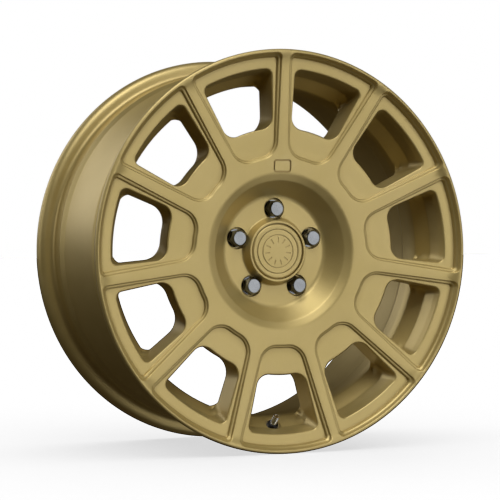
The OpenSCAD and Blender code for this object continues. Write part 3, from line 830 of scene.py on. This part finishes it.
def makeForging():
    sector = makeSector()
    spokes = repeatRound(sector, face["spokes"], gold, "spokes")
    body = joined("wheel_forging_look", [spokes, makeRimBand(), makeHubBand()])
    edit = bmesh.new()
    edit.from_mesh(body.data)
    openEdges = sum(1 for e in edit.edges if len(e.link_faces) != 2)
    edit.free()
    print("forging before cuts:", len(body.data.polygons), "faces,", openEdges, "open edges")
    cutter = joined("cutters", makeCutters())
    cut = body.modifiers.new("cuts", "BOOLEAN")
    cut.operation = "DIFFERENCE"
    cut.solver = "MANIFOLD"
    cut.object = cutter
    body = evaluated(body, "wheel_forging_look")
    bpy.data.objects.remove(cutter)
    return finish(body, "wheel", "wheel_forging", gold)


forging = makeForging()
print("forging:", len(forging.data.polygons), "faces")


def lathe(name, rows, count, at, axis, shape=None, hollow=False):
    # rows are (radius, place along the axis); shape(r, angle, h) may change the radius
    if abs(axis.y) < 0.99:
        side = axis.orthogonal().normalized()
    elif at.x or at.z:
        side = Vector((at.x, 0, at.z)).normalized()
    else:
        side = Vector((0, 0, 1))
    across = axis.cross(side)
    verts = []
    for r, h in rows:
        for j in range(count):
            a = turn * j / count
            rr = shape(r, a, h) if shape else r
            verts.append(at + (side * math.cos(a) * rr + across * math.sin(a) * rr + axis * h) * mm)
    faces = gridFaces(len(rows), count)
    if hollow:
        last = (len(rows) - 1) * count
        faces += [(last + j, last + (j + 1) % count, (j + 1) % count, j) for j in range(count)]
    return joined(name, [meshObject(name, verts, faces)])


def hexRadius(af, a):
    return af / 2 / math.cos((a + math.pi / 6) % (math.pi / 3) - math.pi / 6)


def softMin(a, b, k):
    low = min(a, b)
    return low - k * math.log(math.exp(-(a - low) / k) + math.exp(-(b - low) / k))


def threadShape(pitchLength, depth, low, high):
    # a helix that fades out at both ends
    def shape(r, a, h):
        if not low < h < high:
            return r
        fade = min(1.0, (h - low) / pitchLength, (high - h) / pitchLength)
        phase = (h / pitchLength + a / turn) % 1.0
        ridge = abs(2 * phase - 1)
        return r - depth * ridge * fade
    return shape


nut = {"af": 19.0, "tip": 29.0, "shoulder": 1.35, "end": 3.5, "thread": 6.0, "pitch": 1.5,
       "threadDepth": 0.46, "threadSteps": 66, "collar": 1.5, "gap": 0.3, "sides": 72}


def makeNut(i):
    coneTop = hub["seatDepth"] - nut["gap"]
    coneR = hub["seatD"] / 2 - nut["gap"]
    coneLong = (hub["seatD"] - hub["studHole"]) / 2 / math.tan(math.radians(30)) - nut["gap"]
    coneEnd = coneTop + coneLong
    coneEndR = coneR - coneLong * math.tan(math.radians(30))
    tip = nut["tip"]
    tipR = nut["af"] / 2 - nut["shoulder"]
    threadStart = tip + nut["end"]
    rows = [(0, tip), (3.5, tip), (tipR - 0.9, tip), (tipR - 0.42, tip + 0.05), (tipR - 0.12, tip + 0.2),
            (tipR, tip + 0.45)]
    hexRows = [0.8, 1.3, 1.9, 2.5, 3.1, 3.7, 4.3, 5.0, 5.7, 6.5, 8.0, 9.5, 11.0, 12.2, 12.5, 12.7]
    for d in hexRows:
        flare = tipR + (d - 0.45) * 0.66 if d < 2.4 else tipR + 1.29 + (d - 2.4) * 0.47
        rows.append((min(flare, nut["af"] / 2 + nut["collar"]), tip + d))
    hexEnd = tip + hexRows[-1]
    rows += [(coneR, hexEnd + 0.05), (coneR, coneTop - 0.25), (coneR - 0.12, coneTop)]
    rows += [(coneR - coneLong * math.tan(math.radians(30)) * t, coneTop + coneLong * t)
             for t in (0.25, 0.5, 0.75, 0.97)]
    rows += [(coneEndR - 0.15, coneEnd), (nut["thread"] + 0.5, coneEnd), (nut["thread"], coneEnd - 0.5)]
    steps = nut["threadSteps"]
    rows += [(nut["thread"], coneEnd - 0.5 - (coneEnd - 0.5 - threadStart) * k / steps)
             for k in range(1, steps + 1)]
    rows += [(3.0, threadStart - 0.5), (0, threadStart - 0.8)]
    thread = threadShape(nut["pitch"], nut["threadDepth"], threadStart, coneEnd - 0.5)

    def shape(r, a, h):
        if r < nut["thread"] + 0.4 and threadStart <= h < coneEnd:
            return thread(r, a, h)
        if tip + 0.7 < h <= hexEnd and r > tipR:
            return softMin(hexRadius(nut["af"], a), r, 0.16)
        return r

    at = place(hub["lugR"], turn * i / hub["lugs"], 0)
    piece = lathe("lug_nut_look_%d" % (i + 1), rows, nut["sides"], at, axle, shape)
    finish(piece, "nut_%d" % (i + 1), "lug_nut_%d" % (i + 1), chrome, 25)


axle = Vector((0, 1, 0))
for i in range(hub["lugs"]):
    makeNut(i)
print("nuts made")

cap = {"r": 32.4, "top": 26.7, "thick": 4.4, "badgeR": 26.2, "badgeT": 1.6, "gap": 0.5,
       "ringR": 19.8, "ringW": 0.8, "markR": 13.5, "markL": 6.5, "markW": 1.7, "deep": 0.6,
       "sides": 128}
wheelFront = place(0, 0, 0)


def makeCap():
    top = cap["top"]
    r = cap["r"]
    badgeR = cap["badgeR"]
    floor = top + cap["badgeT"]
    back = top + cap["thick"] - 0.3
    rows = [(0, floor), (12, floor), (badgeR - 0.3, floor), (badgeR, floor - 0.3), (badgeR, top + 0.3),
            (badgeR + 0.1, top + 0.1), (badgeR + 0.32, top), (r - 2.4, top), (r - 1.75, top + 0.06),
            (r - 1.25, top + 0.28), (r - 0.3, top + 1.2), (r - 0.08, top + 1.5), (r, top + 1.9),
            (r, back - 0.3), (r - 0.3, back), (20, back), (0, back)]
    piece = lathe("cap_shell_look", rows, cap["sides"], wheelFront, axle)
    finish(piece, "cap", "cap_shell", capGold)
    # the inlaid plate, with a ring and one short mark for each spoke
    edgeR = badgeR - cap["gap"]
    low = top + cap["deep"]
    ring = cap["ringR"]
    inner = ring - cap["ringW"]
    rows = [(0, top), (6, top), (inner - 0.8, top), (inner - 0.2, top), (inner, top + 0.12),
            (inner + 0.06, low), (ring - 0.06, low), (ring, top + 0.12), (ring + 0.2, top),
            (ring + 0.8, top), (edgeR - 1.1, top), (edgeR - 0.5, top), (edgeR - 0.15, top + 0.12),
            (edgeR, top + 0.45), (edgeR, floor), (0, floor)]
    plate = lathe("cap_badge_plate_look", rows, cap["sides"], wheelFront, axle)
    outline = roundedBox(cap["markW"], cap["markL"], cap["markW"] / 2 - 0.02, 5)
    verts = []
    for d, grow in ((low, 0.94), (top - 0.05, 1.0), (top - 2, 1.0)):
        verts += [Vector((x * grow, d - rimW / 2, cap["markR"] + z * grow)) * mm for x, z in outline]
    n = len(outline)
    faces = gridFaces(3, n) + [tuple(range(n)), tuple(2 * n + j for j in range(n))]
    mark = meshObject("mark", verts, faces)
    marks = joined("marks", [repeatRound(mark, face["spokes"], capGold, "marks")])
    cut = plate.modifiers.new("marks", "BOOLEAN")
    cut.operation = "DIFFERENCE"
    cut.solver = "EXACT"
    cut.object = marks
    plate = evaluated(plate, "cap_badge_plate_look")
    bpy.data.objects.remove(marks)
    finish(plate, "cap", "cap_badge_plate", capGold)


makeCap()
print("cap made")


def makeValve():
    seat = -valve["sink"]
    headEnd = seat - valve["wall"] - valve["grommetT"]
    nutAt = seat + valve["washerT"]
    tipEnd = seat + valve["length"]
    stemR = valve["stem"] / 2
    tipR = valve["tip"] / 2
    airR = valve["air"] / 2
    shankEnd = nutAt + valve["nutH"] + 1
    threadEnd = tipEnd - 0.8
    headR = valve["head"] / 2
    steps = valve["threadSteps"]
    rows = [(airR, headEnd - valve["headT"]), (headR - 0.5, headEnd - valve["headT"]),
            (headR - 0.15, headEnd - valve["headT"] + 0.12), (headR, headEnd - valve["headT"] + 0.5),
            (headR, headEnd - 0.3), (headR - 0.3, headEnd), (stemR, headEnd), (stemR, shankEnd - 0.2),
            (stemR - 0.08, shankEnd)]
    rows += [(tipR, shankEnd + 0.05 + (threadEnd - shankEnd - 0.05) * k / steps) for k in range(steps + 1)]
    rows += [(tipR - 0.25, threadEnd + 0.35), (tipR - 0.6, tipEnd - 0.1), (tipR - 0.75, tipEnd),
             (valve["chamber"] / 2 + 0.25, tipEnd), (valve["chamber"] / 2 + 0.05, tipEnd - 0.15),
             (valve["chamber"] / 2, tipEnd - 0.5)]
    low = tipEnd - 1.2 - 11
    rows += [(valve["chamber"] / 2, low), (airR, low)]
    thread = threadShape(valve["pitch"], valve["threadDepth"], shankEnd + 0.05, threadEnd)

    def shape(r, a, h):
        return thread(r, a, h) if abs(r - tipR) < 0.01 else r

    stem = lathe("valve_stem_look", rows, 56, valveAt, stemAxis, shape, hollow=True)
    finish(stem, "wheel", "valve_stem", nickel, 30)
    # the hex nut at the foot
    inner = stemR + 0.1
    af = valve["nutAf"]
    top = nutAt + valve["nutH"]
    rows = [(inner + 0.3, nutAt), (af / 2 - 0.1, nutAt), (af / 2 + 0.55, nutAt + 0.35)]
    rows += [(af / 2 + 1.2, nutAt + h) for h in (0.7, 1.5, 2.3, 3.0)]
    rows += [(af / 2 + 0.75, top - 0.9), (af / 2 + 0.3, top - 0.5), (af / 2 - 0.15, top - 0.15),
             (af / 2 - 0.5, top), (inner + 0.35, top), (inner, top - 0.35), (inner, nutAt + 0.3)]

    def hexShape(r, a, h):
        return softMin(hexRadius(af, a), r, 0.1) if r > af / 2 - 0.6 else r

    nutPiece = lathe("valve_nut_look", rows, 72, valveAt, stemAxis, hexShape, hollow=True)
    finish(nutPiece, "wheel", "valve_nut", darkSteel, 30)
    washerR = valve["seat"] / 2 - valve["washerRoom"]
    rows = [(inner, seat), (washerR - 0.15, seat), (washerR, seat + 0.15), (washerR, seat + 0.7),
            (washerR - 0.25, nutAt), (inner, nutAt)]
    washer = lathe("valve_washer_look", rows, 72, valveAt, stemAxis, hollow=True)
    finish(washer, "wheel", "valve_washer", nickel)


makeValve()
print("valve made")

nodeFinish = {"cap_leg_basket": nylon, "cap_spring_ring": springWire, "valve_grommet": rubber,
              "valve_core_body": brass, "valve_core_gasket": whiteSeal, "valve_core_spring": springWire,
              "valve_core_pin": brass, "valve_core_seal": rubber}
for node, material in nodeFinish.items():
    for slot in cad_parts[node].material_slots:
        slot.material = material


studio = {"ambient": (0.026, 0.017, 0.006, 1), "backdrop": (1, 1, 1, 1), "floorHalf": 12.0,
          "floorColour": (0.22, 0.22, 0.22, 1), "floorLightHigh": 4.0, "floorLightSize": 9.0,
          "floorLight": 300.0, "floorFill": 4.4}
# each lamp's place, size and power
lamps = {
    "top": ((-0.6, -1.9, 2.8), (2.2, 2.2), 78.0),
    "front": ((1.9, -4.2, 0.5), (1.9, 4.6), 55.0),
    "left": ((-4.0, 0.4, 1.0), (2.0, 2.0), 17.0),
    "right": ((3.6, -1.6, 0.3), (1.6, 3.0), 12.0),
    "back": ((-2.4, 3.2, 1.8), (3.0, 3.0), 42.0),
    "low": ((1.6, -2.4, -2.0), (1.6, 1.6), 10.0),
}
shot = {"at": (-0.9941, -2.2512, 0.0351), "toward": (0.40406, 0.91463, -0.01409), "lens": 146.25}


def makeStage():
    # the floor only catches shadows, and the backdrop is only seen by the camera
    half = studio["floorHalf"]
    corners = [Vector((x, y, cadLow.z)) for x, y in
               ((-half, -half), (half, -half), (half, half), (-half, half))]
    floor = meshObject("floor", corners, [(0, 1, 2, 3)])
    p = Paint("floorPaper")
    p.set(colour=studio["floorColour"], roughness=0.85, specular=0.1)
    floor.data.materials.append(p.material)
    floor.is_shadow_catcher = True
    floor.visible_diffuse = False
    floor.visible_glossy = False
    floor.visible_shadow = False
    unlit = bpy.data.collections.new("unlitFloor")
    unlit.objects.link(floor)
    unlit.collection_objects[0].light_linking.link_state = "EXCLUDE"
    world = bpy.data.worlds.new("studio")
    bpy.context.scene.world = world
    world.use_nodes = True
    nodes = world.node_tree.nodes
    links = world.node_tree.links
    sky = nodes["Background"]
    seen = nodes.new("ShaderNodeLightPath")
    tint = nodes.new("ShaderNodeMix")
    tint.data_type = "RGBA"
    links.new(seen.outputs["Is Camera Ray"], tint.inputs[0])
    tint.inputs[6].default_value = studio["ambient"]
    tint.inputs[7].default_value = studio["backdrop"]
    links.new(tint.outputs[2], sky.inputs[0])
    return unlit


def areaLight(name, at, size, power):
    # a soft lamp that points at the wheel's middle
    data = bpy.data.lights.new(name, "AREA")
    data.shape = "RECTANGLE"
    data.size, data.size_y = size
    data.energy = power
    lamp = bpy.data.objects.new(name, data)
    lamp.location = at
    lamp.rotation_euler = (-Vector(at)).to_track_quat("-Z", "Y").to_euler()
    lamp.visible_camera = False
    bpy.context.scene.collection.objects.link(lamp)
    return lamp


def floorLights():
    # the floor's own lights: a wide soft one for the shadow under the wheel and a fill without one
    lit = bpy.data.collections.new("floorOnly")
    lit.objects.link(bpy.data.objects["floor"])
    size = studio["floorLightSize"]
    wide = areaLight("floorLight", (0, 0, studio["floorLightHigh"]), (size, size), studio["floorLight"])
    data = bpy.data.lights.new("floorFill", "SUN")
    data.energy = studio["floorFill"]
    data.use_shadow = False
    fill = bpy.data.objects.new("floorFill", data)
    bpy.context.scene.collection.objects.link(fill)
    for lamp in (wide, fill):
        lamp.light_linking.receiver_collection = lit


def makeCamera():
    data = bpy.data.cameras.new("camera")
    data.lens = shot["lens"]
    data.sensor_width = 36
    camera = bpy.data.objects.new("camera", data)
    camera.location = shot["at"]
    camera.rotation_euler = Vector(shot["toward"]).to_track_quat("-Z", "Y").to_euler()
    bpy.context.scene.collection.objects.link(camera)
    bpy.context.scene.camera = camera


unlitFloor = makeStage()
for name, (at, size, power) in lamps.items():
    lamp = areaLight(name + "Light", at, size, power)
    lamp.light_linking.receiver_collection = unlitFloor
floorLights()
makeCamera()
bpy.context.scene.view_settings.view_transform = "Standard"
print("stage made")
